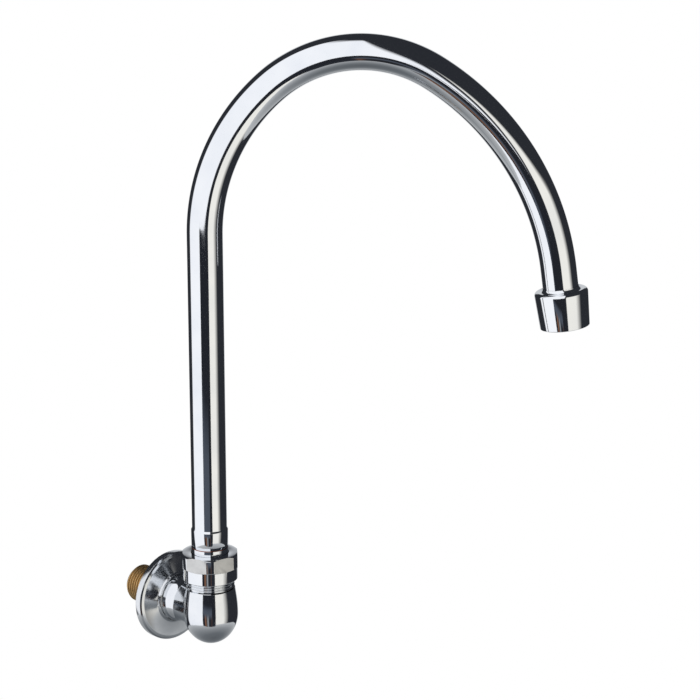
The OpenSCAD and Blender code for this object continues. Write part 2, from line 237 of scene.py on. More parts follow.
def turn(name: str, outline: Sequence[Point], steps: int = AROUND) -> Piece:
    """Turns a piece on the lathe: spins an outline once round the Z axis.

    Args:
        name: The piece's name.
        outline: Radius and height of its points; a ring repeats its first point last.
        steps: Faces round the turn.

    Returns:
        The closed piece, in object mode.
    """
    piece = start_point(name, Vector((outline[0][0], 0, outline[0][1])))
    draw_line(outline)
    bpy.ops.mesh.select_all(action="SELECT")
    bpy.ops.mesh.spin(steps=steps, angle=math.tau, center=(0, 0, 0), axis=(0, 0, 1))
    close_shell()
    return piece


def eased(corners: Sequence[tuple[float, ...]], steps: int = 4) -> list[Point]:
    """Rounds the corners of an outline.

    Args:
        corners: Radius, height and, where a corner is rounded, its rounding.
        steps: Faces in each rounding.

    Returns:
        The outline's points, ending with the first again.
    """
    nearly_straight = 1.5     # half an angle, in radians, that needs no rounding
    most = 0.45               # share of an edge that a rounding may take
    points: list[Point] = []
    count = len(corners)
    for i, corner in enumerate(corners):
        here = Vector(corner[:2])
        ease = corner[2] if len(corner) > 2 else 0.0
        back = Vector(corners[i - 1][:2]) - here
        ahead = Vector(corners[(i + 1) % count][:2]) - here
        half = back.angle(ahead, math.pi) / 2
        if ease <= 0 or half > nearly_straight:
            points.append((here.x, here.y))
            continue
        reach = min(ease / math.tan(half), back.length * most, ahead.length * most)
        one, two = here + back.normalized() * reach, here + ahead.normalized() * reach
        for k in range(steps + 1):
            t = k / steps
            bow = (1 - t) * (1 - t) * one + 2 * t * (1 - t) * here + t * t * two
            points.append((bow.x, bow.y))
    return [*points, points[0]]


def ring(name: str, box: Four, eases: Sequence[float]) -> Piece:
    """Turns a ring of four-sided section.

    Args:
        name: The piece's name.
        box: Its inner and outer radius, and the heights of its underside and top.
        eases: The rounding of each edge, from the lower inner one round.

    Returns:
        The ring, in object mode.
    """
    inner, outer, low, high = box
    corners = ((inner, low), (outer, low), (outer, high), (inner, high))
    return turn(name, eased([(*corner, ease) for corner, ease in zip(corners, eases)]))


def settle(
    piece: Piece,
    place: Matrix,
    body: str,
    nodes: Sequence[str] = (),
    smooth: float = 38,
) -> None:
    """Puts a finished piece into the frame and says what it belongs to.

    Args:
        piece: The piece, in millimetres in its own frame.
        place: Its frame, in millimetres.
        body: The CAD body that it rides on.
        nodes: The CAD nodes that it stands for.
        smooth: Angle in degrees up to which faces are shaded as one.
    """
    take_up(piece)
    piece.data.transform(TO_METRES @ place)
    bpy.ops.object.shade_smooth_by_angle(angle=math.radians(smooth))
    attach(piece, body)
    if nodes:
        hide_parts(*nodes)
    log.info("%s: %d faces, on %s", piece.name, len(piece.data.polygons), body)


@dataclass(frozen=True)
class Thread:
    """A screw thread that winds round the Z axis.

    It is drawn outside a shaft when crest is the larger radius, and inside a
    bore when it is the smaller. At each end it fades to that end's radius.
    """

    root: float
    crest: float
    pitch: float
    low: float
    high: float
    low_end: float
    high_end: float
    fade: float = 1.0
    near: float = 0.02    # a point this close to an end is moved onto it

    # One ridge: share of the pitch along it, and share of the thread's depth.
    RIDGE = (
        (0.0, 0.0), (0.08, 0.03), (0.15, 0.14), (0.36, 0.84), (0.43, 0.97),
        (0.5, 1.0), (0.57, 0.97), (0.64, 0.84), (0.85, 0.14), (0.92, 0.03), (1.0, 0.0),
    )

    def wind(self, name: str) -> Piece:
        """Winds the thread's skin.

        Args:
            name: The new piece's name.

        Returns:
            The skin, open at both ends, in object mode.
        """
        first = self.low - self.pitch
        ridge = [
            (self.root + (self.crest - self.root) * depth, first + along * self.pitch)
            for along, depth in self.RIDGE
        ]
        piece = start_point(name, Vector((ridge[0][0], 0, ridge[0][1])))
        draw_line(ridge)
        bpy.ops.object.mode_set(mode="OBJECT")
        turns = math.ceil((self.high - self.low) / self.pitch) + 2
        apply_modifier(
            piece, "SCREW", axis="Z", angle=math.tau, screw_offset=self.pitch,
            iterations=turns, steps=THREAD_STEPS, render_steps=THREAD_STEPS,
            use_merge_vertices=True, merge_threshold=1e-4,
        )
        for vertex in piece.data.vertices:
            self.fade_end(vertex, vertex.co.z - self.low, self.low, self.low_end)
            self.fade_end(vertex, self.high - vertex.co.z, self.high, self.high_end)
        bpy.ops.object.mode_set(mode="EDIT")
        close_shell()
        return piece

    def fade_end(
        self, vertex: bpy.types.MeshVertex, inside: float, level: float, end: float
    ) -> None:
        """Draws a point near an end towards that end's circle.

        Args:
            vertex: The point.
            inside: How far inside that end it lies; beyond the end it is moved onto it.
            level: Height of the end.
            end: The radius there.
        """
        t = max((inside - self.near) / self.fade, 0.0)
        if t >= 1:
            return
        radius = math.hypot(vertex.co.x, vertex.co.y)
        wanted = end + (radius - end) * t * (2 - t)
        vertex.co.x *= wanted / radius
        vertex.co.y *= wanted / radius
        if inside <= self.near:
            vertex.co.z = level

    def turned(self, name: str, rest: Sequence[Point]) -> Piece:
        """Turns a closed piece with this thread on it.

        Args:
            name: The piece's name.
            rest: Outline of the rest of it, from the thread's high end to its low end.

        Returns:
            The closed piece, in object mode.
        """
        piece = self.wind(name)
        pick(piece, lambda co: abs(co.z - self.high) < SAME)
        r0, z0 = self.high_end, self.high
        for r1, z1 in [*rest, (self.low_end, self.low)]:
            extrude((0, 0, z1 - z0), r1 / r0)
            r0, z0 = r1, z1
        close_shell()
        return piece


# ---- Finishes ------------------------------------------------------------------

# Numbers of a Mix node's sockets when it mixes colours.
MIX_FROM, MIX_TO, MIX_OUT = 6, 7, 2


def colour(code: str) -> Four:
    """Turns an sRGB hex colour into Blender's linear one.

    Args:
        code: The colour, as #RRGGBB.

    Returns:
        Red, green, blue and an alpha of one.
    """
    parts = [int(code[i : i + 2], 16) / 255 for i in (1, 3, 5)]
    linear = [c / 12.92 if c <= 0.04045 else ((c + 0.055) / 1.055) ** 2.4 for c in parts]
    return (linear[0], linear[1], linear[2], 1.0)


def per_mm(size: float) -> float:
    """Returns the texture scale whose features are that many millimetres wide."""
    return 1 / (size * MM)


def add(tree: Tree, kind: str, feeds: dict[int | str, Any], **settings: Any) -> bpy.types.Node:
    """Adds one node to a tree.

    Args:
        tree: The node tree.
        kind: The node's type, without its ShaderNode.
        feeds: For each input, by name or number, a value or another node's output.
        **settings: The node's properties.

    Returns:
        The new node.
    """
    node = tree.nodes.new("ShaderNode" + kind)
    for key, value in settings.items():
        setattr(node, key, value)
    for key, value in feeds.items():
        if isinstance(value, Socket):
            tree.links.new(value, node.inputs[key])
        else:
            node.inputs[key].default_value = value
    return node


def set_stops(ramp: bpy.types.ColorRamp, stops: Sequence[tuple[float, str]]) -> None:
    """Gives a colour ramp its stops.

    Args:
        ramp: The ramp.
        stops: For each stop a place from 0 to 1 and an sRGB hex colour.
    """
    while len(ramp.elements) > 1:
        ramp.elements.remove(ramp.elements[-1])
    first, *others = stops
    ramp.elements[0].position, ramp.elements[0].color = first[0], colour(first[1])
    for place, code in others:
        ramp.elements.new(place).color = colour(code)


def blank_tree(owner: bpy.types.Material | bpy.types.World) -> Tree:
    """Switches on the nodes of a material or world, and clears them.

    Args:
        owner: The material or world.

    Returns:
        Its empty node tree.
    """
    owner.use_nodes = True
    owner.node_tree.nodes.clear()
    return owner.node_tree


@dataclass(frozen=True)
class Finish:
    """What all finishes share: two colours, a roughness and a fine relief.

    The second colour and the roughness change over the surface with a soft
    noise, and the relief is a second, finer noise.
    """

    name: str
    colour_a: str
    colour_b: str
    metallic: float
    rough_low: float
    rough_high: float
    patch: float          # width in mm of the soft patches
    grain: float          # width in mm of the relief's grains
    relief: float         # height in mm of the relief
    stretch: tuple[float, float, float] = (1.0, 1.0, 1.0)    # squeezes the grains
    sheen: float = 0.0

    def make(self) -> bpy.types.Material:
        """Makes the material, unless it is made already.

        Returns:
            The material.
        """
        made = bpy.data.materials.get(self.name)
        if made:
            return made
        material = bpy.data.materials.new(self.name)
        tree = blank_tree(material)
        place = add(tree, "TexCoord", {}).outputs["Object"]
        patches = add(
            tree, "TexNoise",
            {"Vector": place, "Scale": per_mm(self.patch), "Detail": 3.0, "Roughness": 0.55},
        ).outputs["Fac"]
        base = self.tint(tree, place, patches)
        rough = add(
            tree, "MapRange",
            {"Value": patches, "From Min": 0.3, "From Max": 0.7,
             "To Min": self.rough_low, "To Max": self.rough_high},
        ).outputs["Result"]
        shader = add(
            tree, "BsdfPrincipled",
            {"Base Color": base, "Metallic": self.metallic, "Roughness": rough,
             "Sheen Weight": self.sheen, "Normal": self.surface(tree, place)},
        )
        add(tree, "OutputMaterial", {"Surface": shader.outputs["BSDF"]})
        return material

    def tint(self, tree: Tree, place: Socket, patches: Socket) -> Socket:
        """Lays the second colour in soft patches on the first.

        Args:
            tree: The material's tree.
            place: Object coordinates.
            patches: The soft noise.

        Returns:
            The surface's colour.
        """
        ramp = add(tree, "ValToRGB", {"Fac": patches})
        set_stops(ramp.color_ramp, [(0.36, self.colour_a), (0.66, self.colour_b)])
        return ramp.outputs["Color"]

    def surface(self, tree: Tree, place: Socket) -> Socket:
        """Gives the surface its fine relief.

        Args:
            tree: The material's tree.
            place: Object coordinates.

        Returns:
            The surface's normal.
        """
        run = add(tree, "Mapping", {"Vector": place, "Scale": self.stretch}).outputs["Vector"]
        grains = add(
            tree, "TexNoise",
            {"Vector": run, "Scale": per_mm(self.grain), "Detail": 2.0, "Roughness": 0.6},
        ).outputs["Fac"]
        return add(
            tree, "Bump", {"Strength": 1.0, "Distance": self.relief * MM, "Height": grains}
        ).outputs["Normal"]


@dataclass(frozen=True)
class ThreadToneByDepth(Finish):
    """Raw brass whose colour is darker towards the thread's roots and lighter towards its
    crests.
    """

    root_r: float = 9.3       # mm from the nipple's axis, at which the darker colour is full
    crest_r: float = 10.45    # and at which it has gone
    root_colour: str = "#A88858"

    def tint(self, tree: Tree, place: Socket, patches: Socket) -> Socket:
        """Darkens the colour by how deep in the thread a point lies.

        Args:
            tree: The material's tree.
            place: Object coordinates.
            patches: The soft noise.

        Returns:
            The surface's colour.
        """
        base = super().tint(tree, place, patches)
        flat = add(tree, "VectorMath", {0: place, 1: (1.0, 0.0, 1.0)}, operation="MULTIPLY")
        radius = add(
            tree, "VectorMath", {0: flat.outputs["Vector"]}, operation="LENGTH"
        ).outputs["Value"]
        height = add(
            tree, "MapRange",
            {"Value": radius, "From Min": self.root_r * MM, "From Max": self.crest_r * MM},
        ).outputs["Result"]
        return add(
            tree, "Mix",
            {"Factor": height, MIX_FROM: colour(self.root_colour), MIX_TO: base},
            data_type="RGBA",
        ).outputs[MIX_OUT]


@dataclass(frozen=True)
class FoamFinish(Finish):
    """Closed cell foam: round cells instead of grains."""

    def surface(self, tree: Tree, place: Socket) -> Socket:
        """Pits the surface with the foam's cells.

        Args:
            tree: The material's tree.
            place: Object coordinates.

        Returns:
            The surface's normal.
        """
        cells = add(
            tree, "TexVoronoi", {"Vector": place, "Scale": per_mm(self.grain)},
            feature="F1",
        ).outputs["Distance"]
        return add(
            tree, "Bump", {"Strength": 1.0, "Distance": self.relief * MM, "Height": cells}
        ).outputs["Normal"]


# Chrome plate on a polished tube or turned piece. The eye sees a cool mirror that
# is a little hazy in soft patches, where it was buffed and wiped.
CHROME = Finish(
    "chrome_plate_on_tube", "#F1F3F5", "#E9ECF0", 1.0, 0.035, 0.075,
    patch=22, grain=7, relief=0.004,
)
# Chrome plate on the polished casting. Polishing a casting leaves it faintly
# wavy, so that straight reflections waver.
CAST_CHROME = Finish(
    "chrome_plate_on_casting", "#EFF1F3", "#E6E9ED", 1.0, 0.045, 0.10,
    patch=14, grain=4.5, relief=0.006,
)
# Chrome plate on spun sheet, buffed less: reflections are soft.
SPUN_CHROME = Finish(
    "chrome_plate_on_spun_sheet", "#E4E6E8", "#DADDE0", 1.0, 0.10, 0.18,
    patch=12, grain=5, relief=0.006,
)
# Milled and plated, not polished: the cutter's fine lines show as a satin.
SATIN = Finish(
    "chrome_plate_satin_milled", "#D9D9D7", "#CFCFCD", 1.0, 0.30, 0.38,
    patch=5, grain=0.35, relief=0.004, stretch=(1.0, 1.0, 6.0),
)
# Inside of a bore, where no plate reaches: dull bare metal, painted near black for the shade
# inside the bore.
BORE_PAINTED_SHADE = Finish(
    "unplated_bore_brass_painted_shade", "#3A342B", "#2A2622", 1.0, 0.38, 0.55,
    patch=3, grain=0.5, relief=0.01,
)
# Turned brass left raw: golden brown and soft, with a rolled thread coloured
# darker towards its roots and lighter towards its crests.
RAW_BRASS = ThreadToneByDepth(
    "raw_brass_turned", "#EFC98F", "#E0BB82", 1.0, 0.34, 0.48,
    patch=2.5, grain=0.3, relief=0.006, stretch=(1.0, 5.0, 1.0),
)
# Line of copper braze: reddish, a little scaled by the torch.
BRAZE = Finish(
    "copper_braze_torched", "#B06A4A", "#7C4633", 1.0, 0.28, 0.5,
    patch=1.5, grain=0.25, relief=0.012,
)
# Moulded nitrile rubber: near black with a dull shine.
RUBBER = Finish(
    "nitrile_rubber_moulded", "#17181A", "#222325", 0.0, 0.42, 0.58,
    patch=2.5, grain=0.2, relief=0.006,
)
# Closed cell foam rubber, cut from sheet: open cells on its cut faces.
FOAM = FoamFinish(
    "closed_cell_foam_cut", "#4A4B4D", "#3A3B3D", 0.0, 0.85, 0.95,
    patch=3, grain=0.7, relief=0.12, sheen=0.15,
)
# Pressed red fibre: a paper-like board.
FIBRE = Finish(
    "vulcanised_fibre_pressed", "#8A4A34", "#70392A", 0.0, 0.6, 0.75,
    patch=1.8, grain=0.3, relief=0.02, stretch=(1.0, 3.0, 1.0),
)
# Natural nylon, moulded: ivory, waxy.
NYLON = Finish(
    "nylon_natural_moulded", "#EDE6D3", "#E2DAC4", 0.0, 0.34, 0.44,
    patch=6, grain=0.6, relief=0.004,
)
# Acetal, moulded: white and slippery.
ACETAL = Finish(
    "acetal_white_moulded", "#EFEFEC", "#E4E4E0", 0.0, 0.30, 0.40,
    patch=6, grain=0.6, relief=0.004,
)
# ABS, moulded in grey with a fine spark-eroded texture.
ABS_GREY = Finish(
    "abs_grey_moulded", "#6E7276", "#62666A", 0.0, 0.42, 0.5,
    patch=5, grain=0.25, relief=0.008,
)
# Stainless wire screen, as drawn.
STEEL = Finish(
    "stainless_screen_wire", "#C9CCCF", "#B4B7BA", 1.0, 0.22, 0.34,
    patch=2, grain=0.3, relief=0.004,
)


def coat(piece: Piece, *finishes: Finish) -> None:
    """Gives a piece its finishes.

    Args:
        piece: The piece.
        *finishes: Its finishes, in the order of its material slots.
    """
    piece.data.materials.clear()
    for finish in finishes:
        piece.data.materials.append(finish.make())


def coat_where(piece: Piece, slot: int, test: Callable[[Vector, Vector], bool]) -> None:
    """Gives the faces that pass a test another of the piece's finishes.

    Args:
        piece: The piece, still in millimetres in its own frame.
        slot: The number of the finish.
        test: Says of a face's centre and normal whether it takes that finish.
    """
    for face in piece.data.polygons:
        if test(face.center, face.normal):
            face.material_index = slot


# ---- Wall elbow ------------------------------------------------------------------


@dataclass
class WallElbow:
    """The fixed half: cast elbow, wall flange, brass nipple and the seals on the wall."""

    reach: float = REACH
    bulb_r: float = 14.9
    bulb_mid: float = -2.0        # height at which the bulb is widest
    bulb_depth: float = 16.9      # from there to its bottom
    shoulder_r: float = 13.4
    shoulder_z: float = 13.1      # top of the casting, below the thread
    step: float = 0.18            # height of the small step at the shoulder
    draw_in: float = 0.987        # share of the shoulder's radius left above it
    mouth_z: float = 25.0
    mouth_foot: float = 9.0       # how low the mouth's piece reaches in the casting
    mouth_foot_r: float = 12.0
    bore_r: float = 10.3
    lead: float = 0.9             # chamfer of the bore at the mouth
    chamber_r: float = 11.0
    chamber_top: float = 8.9
    chamber_ease: float = 1.5
    bottom_wall: float = 4.9
    waist_r: float = 11.6
    waist_length: float = 6.4
    collar_r: float = 12.8
    collar_length: float = 3.4
    collar_ease: float = 0.7
    sink: float = 0.44            # share of the bulb's radius that the neck runs into
    socket_r: float = 10.03
    socket_end: float = 18.2
    passage_r: float = 8.0
    way_steps: int = 64           # faces round the water way
    grain: float = 0.3            # edge of the casting's blending grid
    smoothing: int = 14           # rounds that blend its halves
    flange_r: float = 25.0
    flange_rim: float = 3.6       # height of the flange's straight rim
    flange_rise: float = 6.2      # height of its dish at the lip
    bevel_r: float = 22.8         # inner edge of its bright bevel
    bevel_z: float = 4.7
    dish_r: float = 14.4          # inner edge of its dish
    lip_z: float = 7.3
    lip_r: float = 13.0
    flange_hole_r: float = 10.68
    flange_wall: float = 1.2
    nipple_end: float = 27.0      # behind the wall
    nipple_tail: float = -17.2    # in the elbow
    nipple_bore_r: float = 7.5
    shank_r: float = 9.98
    blank_r: float = 10.44        # plain length before the first thread
    foam: Four = (20.0, 23.7, 0.02, 2.1)
    grip: Four = (10.04, 12.1, 2.85, 4.95)
    mouth_thread: Thread = Thread(
        root=12.35, crest=13.2, pitch=1.41, low=13.25, high=24.75,
        low_end=12.35, high_end=12.35, fade=0.75,
    )
    inlet_thread: Thread = Thread(
        root=9.3175, crest=10.4775, pitch=1.814, low=3.0, high=26.5,
        low_end=9.3175, high_end=9.3175, fade=1.3,
    )

    def bulb(self) -> Piece:
        """Turns the casting's upright half.

        Returns:
            The half, solid and run on past its shoulder.
        """
        bottom = [
            (self.bulb_r * math.cos(a), self.bulb_mid - self.bulb_depth * math.sin(a))
            for a in reversed(quarter(36))
        ]
        rise = self.shoulder_z - self.bulb_mid
        swell = self.bulb_r - self.shoulder_r
        side = [
            (self.shoulder_r + swell * math.cos(math.radians(90 * t)), self.bulb_mid + t * rise)
            for t in shares(20, 1)
        ]
        top = self.shoulder_z + 2
        return turn("elbow_casting", [*bottom, *side, (self.shoulder_r, top), (0, top)])

    def neck(self) -> Piece:
        """Turns the casting's level half: collar, waist and flare into the bulb.

        Returns:
            The half, solid and upright.
        """
        collar_at = self.flange_rise + self.collar_length
        waist_at = collar_at + self.waist_length
        sunk = self.bulb_r * self.sink
        end_at = self.reach - sunk
        end_r = math.sqrt((self.bulb_r - 0.4) ** 2 - sunk**2)
        rounding = [
            (self.collar_r - self.collar_ease * (1 - math.sin(a)),
             collar_at - self.collar_length * math.cos(a))
            for a in quarter(12)
        ]
        narrowing = self.collar_r - self.waist_r
        waist = [
            (self.waist_r + narrowing * (1 + math.cos(math.pi * t)) / 2,
             collar_at + t * self.waist_length)
            for t in shares(14, 1)
        ]
        flare = [
            (self.waist_r + (end_r - self.waist_r) * t * t, waist_at + t * (end_at - waist_at))
            for t in shares(14, 1)
        ]
        foot = self.flange_rise - 2
        outline = [(0, foot), (rounding[0][0], foot), *rounding, *waist, *flare, (0, end_at)]
        return turn("neck", outline)

    def water_way(self) -> Piece:
        """Makes the hollow of the casting.

        Returns:
            The hollow as a solid to cut with, in the elbow's frame.
        """
        top = self.shoulder_z + 4
        wide = self.bore_r + 0.6      # the mouth's own piece lines this part
        depth = self.bulb_depth - self.bottom_wall
        round_end = [
            (self.chamber_r * math.cos(a), self.bulb_mid - depth * math.sin(a))
            for a in reversed(quarter(12))
        ]
        upright = turn("upright_way", [
            *round_end, (self.chamber_r, self.chamber_top - self.chamber_ease),
            (wide, self.chamber_top), (wide, top), (0, top),
        ], steps=self.way_steps)
        upright.data.transform(shift(0, -self.reach, 0))
        level = turn("level_way", [
            (0, 0), (self.socket_r, 0), (self.socket_r, self.socket_end + 1),
            (self.passage_r, self.socket_end + 1), (self.passage_r, self.reach), (0, self.reach),
        ], steps=self.way_steps)
        level.data.transform(OUT_OF_WALL)
        combine(upright, level, "UNION")
        return upright

    def casting(self) -> Piece:
        """Casts the elbow below its thread, its two halves run together.

        Returns:
            The casting with its water way, in the elbow's frame.
        """
        body = self.bulb()
        body.data.transform(shift(0, -self.reach, 0))
        neck = self.neck()
        neck.data.transform(OUT_OF_WALL)
        combine(body, neck, "UNION")
        apply_modifier(body, "REMESH", mode="VOXEL", voxel_size=self.grain, adaptivity=0.0)
        apply_modifier(body, "SMOOTH", factor=0.5, iterations=self.smoothing)
        bpy.ops.object.mode_set(mode="EDIT")
        shoulder = self.shoulder_z - self.step
        ends = (
            ((0, 0, shoulder), (0, 0, -1)),
            ((0, -self.flange_rise - 0.1, 0), (0, -1, 0)),
        )
        for spot, side in ends:
            bpy.ops.mesh.select_all(action="SELECT")
            bpy.ops.mesh.bisect(
                plane_co=spot, plane_no=side, clear_inner=True, use_fill=True, threshold=1e-5
            )
        pick(body, lambda co: abs(co.z - shoulder) < SAME)
        extrude((0, 0, self.step), self.draw_in, (0, -self.reach, shoulder))
        bpy.ops.object.mode_set(mode="OBJECT")
        combine(body, self.water_way(), "DIFFERENCE")
        return body

    def in_water_way(self, centre: Vector, _normal: Vector) -> bool:
        """Says whether a face of the casting lies inside, where no plate reaches and the finish
        is painted dark for shade.

        The chamber's round bottom is told from the outside by a surface that runs
        within its wall.

        Args:
            centre: The face's centre.
            _normal: Its normal, which doesn't matter here.

        Returns:
            Whether it does.
        """
        out = math.hypot(centre.x, centre.y + self.reach)
        if centre.z < self.bulb_mid:
            depth = (centre.z - self.bulb_mid) / (self.bulb_depth - 3)
            upright = (out / (self.chamber_r + 1.5)) ** 2 + depth**2 < 1
        else:
            upright = out < self.chamber_r + 0.2
        level = math.hypot(centre.x, centre.z) < self.socket_r + 0.2 and centre.y > -self.reach
        return upright or level

    def mouth(self) -> Piece:
        """Turns the threaded mouth with its rim and bore.

        Returns:
            The mouth, in the elbow's frame.
        """
        rim, bore = self.mouth_z, self.bore_r
        edge, foot = bore + self.lead, self.mouth_foot_r
        piece = self.mouth_thread.turned("mouth", [
            (12.32, rim - 0.1), (12.22, rim), (edge + 0.08, rim), (edge - 0.04, rim - 0.08),
            (bore + 0.05, rim - self.lead), (bore, rim - self.lead - 0.15), (bore, 14),
            (bore, self.mouth_foot), (foot, self.mouth_foot), (foot, 12.6),
        ])
        coat(piece, CAST_CHROME, BORE_PAINTED_SHADE)
        # Faces in the bore take the unplated finish, painted near black for the shade inside it.
        coat_where(piece, 1, lambda c, _n: math.hypot(c.x, c.y) < bore + 0.3)
        piece.data.transform(shift(0, -self.reach, 0))
        return piece

    def build_elbow(self) -> None:
        """Builds the whole elbow."""
        body = self.casting()
        coat(body, CAST_CHROME, BORE_PAINTED_SHADE)
        # Faces in the water way take the unplated finish, painted near black for the shade
        # inside it.
        coat_where(body, 1, self.in_water_way)
        elbow = join([body, self.mouth()])
        settle(elbow, Matrix(), "wall_elbow", ["elbow_body"])

    def build_flange(self) -> None:
        """Builds the spun wall flange."""
        rim, top, wall = self.flange_rim, self.flange_rise, self.flange_wall
        width, height = self.bevel_r - self.dish_r, top - self.bevel_z
        dish = [
            (self.bevel_r - width * t, self.bevel_z + height * (0.6 * t + 0.4 * t * t))
            for t in shares(14, 1)[:-1]
        ]
        front = [
            (self.flange_r, 0, 0.15), (self.flange_r, rim, 0.35),
            (self.flange_r - 0.9, rim + 0.65, 0.3), (self.bevel_r, self.bevel_z, 1.2), *dish,
            (self.dish_r, top, 0.3), (self.lip_r + 1.0, 6.86, 0.3),
            (self.lip_r + 0.7, self.lip_z, 0.2), (self.lip_r, self.lip_z, 0.15),
            (self.lip_r, top), (self.flange_hole_r, top),
        ]
        inner_rim = self.flange_r - wall
        back = [
            (self.flange_hole_r, top - wall), (self.dish_r, top - wall, 1),
            (self.bevel_r, self.bevel_z - wall, 1), (inner_rim, 2.88, 0.5), (inner_rim, 0),
        ]
        flange = turn("flange_plate", eased([*front, *back]), steps=224)
        coat(flange, SPUN_CHROME)
        settle(flange, OUT_OF_WALL, "wall_elbow", ["wall_flange"])

    def build_nipple(self) -> None:
        """Builds the brass nipple with its pipe thread."""
        end, tail, bore = self.nipple_end, self.nipple_tail, self.nipple_bore_r
        nipple = self.inlet_thread.turned("inlet_pipe_thread", [
            (9.25, end - 0.25), (9.02, end), (bore + 0.2, end), (bore, end - 0.2),
            (bore, tail), (self.shank_r - 0.4, tail), (self.shank_r, tail + 0.4),
            (self.shank_r, -0.01), (10.3, 0.0), (self.blank_r, 0.12), (self.blank_r, 2.5),
            (10.2, 2.75),
        ])
        coat(nipple, RAW_BRASS)
        settle(nipple, ON_INLET, "wall_elbow", ["inlet_nipple"])

    def build_seals(self) -> None:
        """Builds the foam ring and the grip ring in the flange's back."""
        foam = ring("flange_foam", self.foam, [0.3] * 4)
        coat(foam, FOAM)
        settle(foam, OUT_OF_WALL, "wall_elbow", ["flange_gasket"])
        grip = ring("flange_grip", self.grip, (0.3, 0.5, 0.3, 0.3))
        coat(grip, RUBBER)
        settle(grip, OUT_OF_WALL, "wall_elbow", ["flange_grip_ring"])

    def build(self) -> None:
        """Builds every piece of the fixed half."""
        self.build_elbow()
        self.build_flange()
        self.build_nipple()
        self.build_seals()


# ---- Swivel and nut ------------------------------------------------------------------


@dataclass
class Swivel:
    """The turned spigot with its seals, washers and braze line."""

    spigot_r: float = 10.22
    bore_r: float = 7.2
    tip_z: float = 10.4
    grooves: tuple[float, float] = (14.0, 19.6)    # height of each groove's floor
    groove_height: float = 3.0
    floor_r: float = 8.2          # radius at the bottom of a groove
    seal_r: float = 10.25
    flash: float = 0.03           # height of the line that the seals' mould leaves
    washer: Four = (10.54, 12.42, 25.0, 26.2)    # from the mouth's rim to the flange
    flange_z: float = 26.2
    flange_r: float = 12.7
    band_z: float = 29.2
    band_r: float = 10.0
    braze_z: float = 36.1
    braze_height: float = 0.4
    stub_r: float = 8.95
    stub_top: float = 45.3

    def build_spigot(self) -> None:
        """Builds the spigot from its tip to the stub in the tube."""
        outline: list[tuple[float, ...]] = [
            (self.bore_r, self.tip_z, 0.2), (self.spigot_r, self.tip_z, 0.6),
        ]
        for low in self.grooves:
            high = low + self.groove_height
            outline += [
                (self.spigot_r, low, 0.18), (self.floor_r, low, 0.2),
                (self.floor_r, high, 0.2), (self.spigot_r, high, 0.18),
            ]
        outline += [
            (self.spigot_r, self.flange_z), (self.flange_r, self.flange_z, 0.3),
            (self.flange_r, self.band_z, 0.3), (self.band_r, self.band_z),
            (self.band_r, self.braze_z, 0.08), (self.stub_r, self.braze_z),
            (self.stub_r, self.stub_top), (self.bore_r, self.stub_top),
        ]
        spigot = turn("swivel_spigot", eased(outline))
        coat(spigot, CHROME, BORE_PAINTED_SHADE)
        # Faces in the bore take the unplated finish, painted near black for the shade inside it.
        coat_where(spigot, 1, lambda c, _n: math.hypot(c.x, c.y) < self.bore_r + 0.1)
        settle(spigot, ON_RISER, "spout", ["spigot"])

    def build_seals(self) -> None:
        """Builds the two O-rings, each with the flash line of its mould."""
        for name, low in zip(("lower_o_ring", "upper_o_ring"), self.grooves):
            inner = self.floor_r + 0.05
            middle, cord = (inner + self.seal_r) / 2, (self.seal_r - inner) / 2
            centre = low + self.groove_height / 2
            round_cord = []
            for k in range(32):
                angle = math.tau * k / 32
                reach = cord - self.flash if k % 16 else cord
                round_cord.append(
                    (middle + reach * math.cos(angle), centre + reach * math.sin(angle))
                )
            seal = turn("seal_" + name, [*round_cord, round_cord[0]], steps=120)
            coat(seal, RUBBER)
            settle(seal, ON_RISER, "spout", [name])

    def build_washer(self) -> None:
        """Builds the slippery washer on the mouth's rim."""
        washer = ring("slip_washer", self.washer, [0.15] * 4)
        coat(washer, NYLON)
        settle(washer, ON_RISER, "seat", ["seat_washer"])

    def build_braze(self) -> None:
        """Builds the braze line, uneven as the torch leaves it."""
        low, high = self.braze_z, self.braze_z + self.braze_height
        inner, outer = self.stub_r + 0.06, self.band_r
        braze = turn("braze_line", [
            (inner, low), (outer, low), (outer + 0.06, low + 0.12), (outer + 0.07, low + 0.22),
            (outer + 0.05, low + 0.32), (outer, high), (inner, high), (inner, low),
        ])
        for vertex in braze.data.vertices:
            radius = math.hypot(vertex.co.x, vertex.co.y)
            if radius > outer + 0.02:
                angle = math.atan2(vertex.co.y, vertex.co.x)
                uneven = math.sin(3 * angle + 0.7) + 0.6 * math.sin(11 * angle)
                uneven += 0.4 * math.sin(23 * angle + 2.1)
                scale = 1 - 0.0012 * (1.5 - uneven)
                vertex.co.x *= scale
                vertex.co.y *= scale
        coat(braze, BRAZE)
        settle(braze, ON_RISER, "spout", ["braze_ring"])

    def build(self) -> None:
        """Builds every piece of the swivel."""
        self.build_spigot()
        self.build_seals()
        self.build_washer()
        self.build_braze()


